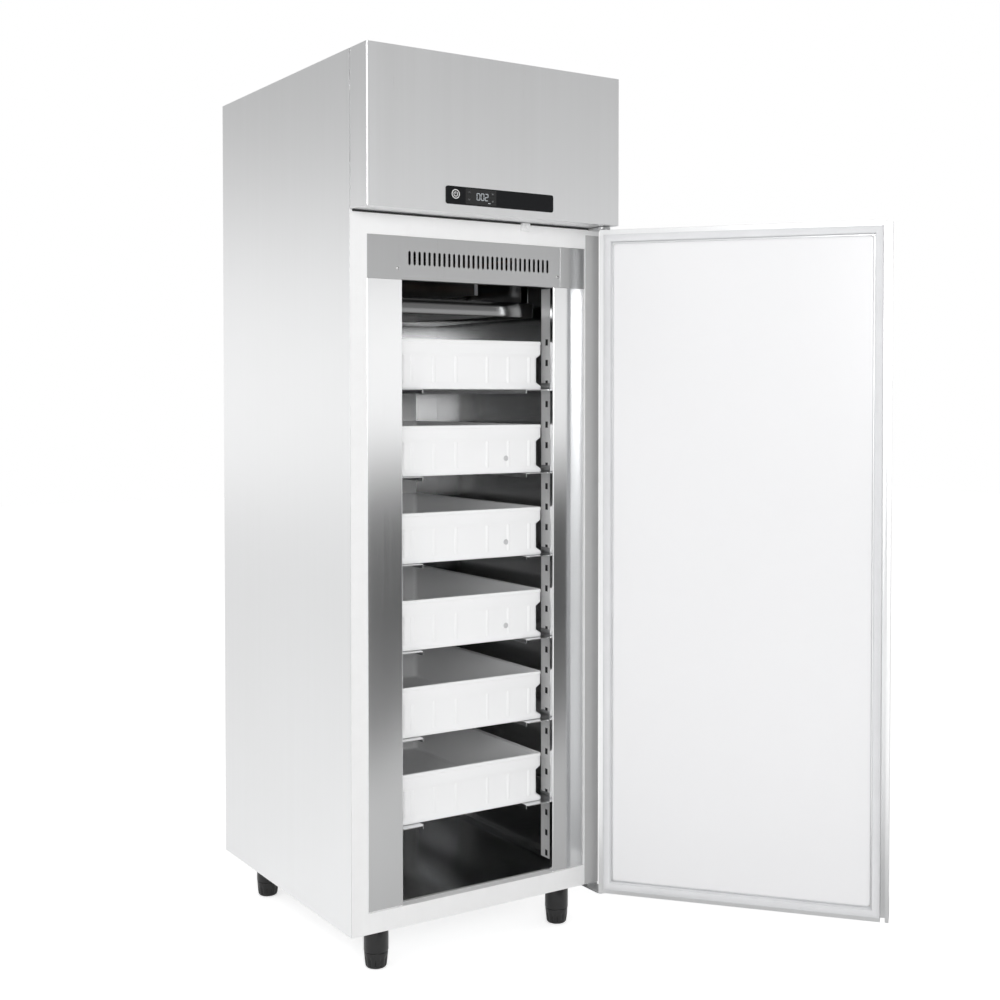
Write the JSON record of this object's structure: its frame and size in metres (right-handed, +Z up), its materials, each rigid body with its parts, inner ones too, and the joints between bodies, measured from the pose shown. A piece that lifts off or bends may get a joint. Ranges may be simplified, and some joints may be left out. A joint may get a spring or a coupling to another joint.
{
  "type": "commercial fish refrigerator",
  "caption": "Upright stainless refrigerator for fish crates, with a hinged insulated door, crates on ledges, a service fascia over the door and levelling feet.",
  "frame": {"origin": "centre of the flat underside of the cabinet, where the legs are fixed; the feet reach down to 0.098 m below it", "axes": "+X to the right of someone facing the front, +Y from the front into the cabinet, +Z up"},
  "size_m": [1.1252, 1.3054, 2.055],
  "materials": {
    "stainless_outer": "satin",
    "stainless_inner": "satin",
    "galvanised": "matte",
    "foam": "matte",
    "crate_plastic": "satin",
    "door_liner": "gloss",
    "gasket": "matte",
    "leg_plastic": "satin",
    "bush_plastic": "satin",
    "black_plastic": "satin",
    "grey_plastic": "matte",
    "white_plastic": "gloss",
    "label_black": "gloss",
    "display_glass": "gloss",
    "compressor_black": "satin",
    "coil_aluminium": "satin",
    "copper": "satin",
    "screw_steel": "gloss"
  },
  "bodies": {
    "cabinet": {"side_panel_left": "stainless_outer", "side_panel_right": "stainless_outer", "rear_panel": "galvanised", "base_panel": "galvanised", "front_frame": "stainless_inner", "insulation_body": "foam", "inner_liner": "stainless_inner", "deck_panel": "galvanised", "rear_louvre_panel": "galvanised", "filler_left": "stainless_inner", "filler_right": "stainless_inner", "grille_panel": "stainless_inner", "front_uprights": "stainless_inner", "rear_uprights": "stainless_inner", "slides_left": "stainless_inner", "slides_right": "stainless_inner", "leg_sleeves": "leg_plastic", "upper_hinge_bracket": "galvanised", "lower_hinge_bracket": "galvanised", "fascia_hinges": "galvanised", "door_switch_housing": "white_plastic", "compressor": "compressor_black", "condenser_coil": "coil_aluminium", "fan_shroud": "galvanised", "condenser_motor": "black_plastic", "filter_drier": "copper", "refrigerant_pipes": "copper", "evaporator_coil": "coil_aluminium", "evaporator_motor": "black_plastic", "evaporator_tray": "stainless_inner", "electrical_box": "grey_plastic", "power_inlet": "black_plastic", "cabinet_screws": "screw_steel"},
    "door": {"door_skin": "stainless_outer", "door_core": "foam", "door_inner_panel": "door_liner", "door_gasket": "gasket", "hinge_bushes": "bush_plastic"},
    "fascia": {"fascia_panel": "stainless_outer", "control_plate": "label_black", "display_window": "display_glass", "controller_housing": "black_plastic"},
    "crate_1_body": {"crate_1": "crate_plastic"},
    "crate_2_body": {"crate_2": "crate_plastic"},
    "crate_3_body": {"crate_3": "crate_plastic"},
    "crate_4_body": {"crate_4": "crate_plastic"},
    "crate_5_body": {"crate_5": "crate_plastic"},
    "crate_6_body": {"crate_6": "crate_plastic"},
    "power_button_body": {"power_button": "black_plastic"},
    "key_1_body": {"key_1": "black_plastic"},
    "key_2_body": {"key_2": "black_plastic"},
    "key_3_body": {"key_3": "black_plastic"},
    "key_4_body": {"key_4": "black_plastic"},
    "door_switch_button_body": {"door_switch_button": "white_plastic"},
    "condenser_fan_body": {"condenser_fan": "black_plastic"},
    "evaporator_fan_body": {"evaporator_fan": "black_plastic"},
    "foot_front_left_body": {"foot_front_left": "leg_plastic"},
    "foot_front_right_body": {"foot_front_right": "leg_plastic"},
    "foot_rear_left_body": {"foot_rear_left": "leg_plastic"},
    "foot_rear_right_body": {"foot_rear_right": "leg_plastic"}
  },
  "joints": [
    {"name": "door_hinge", "type": "hinge", "parent": "cabinet", "child": "door", "pos_m": [0.3295, -0.4075, 0], "axis": [0, 0, 1], "range_deg": [-130, 10]},
    {"name": "crate_1_slide", "type": "slide", "parent": "cabinet", "child": "crate_1_body", "axis": [0, -1, 0], "range_m": [0, 0.65]},
    {"name": "crate_2_slide", "type": "slide", "parent": "cabinet", "child": "crate_2_body", "axis": [0, -1, 0], "range_m": [0, 0.65]},
    {"name": "crate_3_slide", "type": "slide", "parent": "cabinet", "child": "crate_3_body", "axis": [0, -1, 0], "range_m": [0, 0.65]},
    {"name": "crate_4_slide", "type": "slide", "parent": "cabinet", "child": "crate_4_body", "axis": [0, -1, 0], "range_m": [0, 0.65]},
    {"name": "crate_5_slide", "type": "slide", "parent": "cabinet", "child": "crate_5_body", "axis": [0, -1, 0], "range_m": [0, 0.65]},
    {"name": "crate_6_slide", "type": "slide", "parent": "cabinet", "child": "crate_6_body", "axis": [0, -1, 0], "range_m": [0, 0.65]},
    {"name": "fascia_hinge", "type": "hinge", "parent": "cabinet", "child": "fascia", "pos_m": [0, -0.371, 1.9535], "axis": [-1, 0, 0], "range_deg": [0, 80]},
    {"name": "power_button_press", "type": "slide", "parent": "fascia", "child": "power_button_body", "axis": [0, 1, 0], "range_m": [0, 0.0008], "stiffness_N_per_m": 500, "springref_m": -0.0005},
    {"name": "key_1_press", "type": "slide", "parent": "fascia", "child": "key_1_body", "axis": [0, 1, 0], "range_m": [0, 0.0008], "stiffness_N_per_m": 500, "springref_m": -0.0005},
    {"name": "key_2_press", "type": "slide", "parent": "fascia", "child": "key_2_body", "axis": [0, 1, 0], "range_m": [0, 0.0008], "stiffness_N_per_m": 500, "springref_m": -0.0005},
    {"name": "key_3_press", "type": "slide", "parent": "fascia", "child": "key_3_body", "axis": [0, 1, 0], "range_m": [0, 0.0008], "stiffness_N_per_m": 500, "springref_m": -0.0005},
    {"name": "key_4_press", "type": "slide", "parent": "fascia", "child": "key_4_body", "axis": [0, 1, 0], "range_m": [0, 0.0008], "stiffness_N_per_m": 500, "springref_m": -0.0005},
    {"name": "door_switch_press", "type": "slide", "parent": "cabinet", "child": "door_switch_button_body", "axis": [0, 1, 0], "range_m": [0, 0.003], "stiffness_N_per_m": 200, "springref_m": -0.001},
    {"name": "condenser_fan_spin", "type": "hinge", "parent": "cabinet", "child": "condenser_fan_body", "pos_m": [-0.18, -0.273, 1.753], "axis": [0, 1, 0], "continuous": true},
    {"name": "evaporator_fan_spin", "type": "hinge", "parent": "cabinet", "child": "evaporator_fan_body", "pos_m": [0, -0.135, 1.515], "axis": [0, 0, 1], "continuous": true},
    {"name": "foot_front_left_screw", "type": "slide", "parent": "cabinet", "child": "foot_front_left_body", "axis": [0, 0, -1], "range_m": [0, 0.03]},
    {"name": "foot_front_right_screw", "type": "slide", "parent": "cabinet", "child": "foot_front_right_body", "axis": [0, 0, -1], "range_m": [0, 0.03]},
    {"name": "foot_rear_left_screw", "type": "slide", "parent": "cabinet", "child": "foot_rear_left_body", "axis": [0, 0, -1], "range_m": [0, 0.03]},
    {"name": "foot_rear_right_screw", "type": "slide", "parent": "cabinet", "child": "foot_rear_right_body", "axis": [0, 0, -1], "range_m": [0, 0.03]}
  ]
}
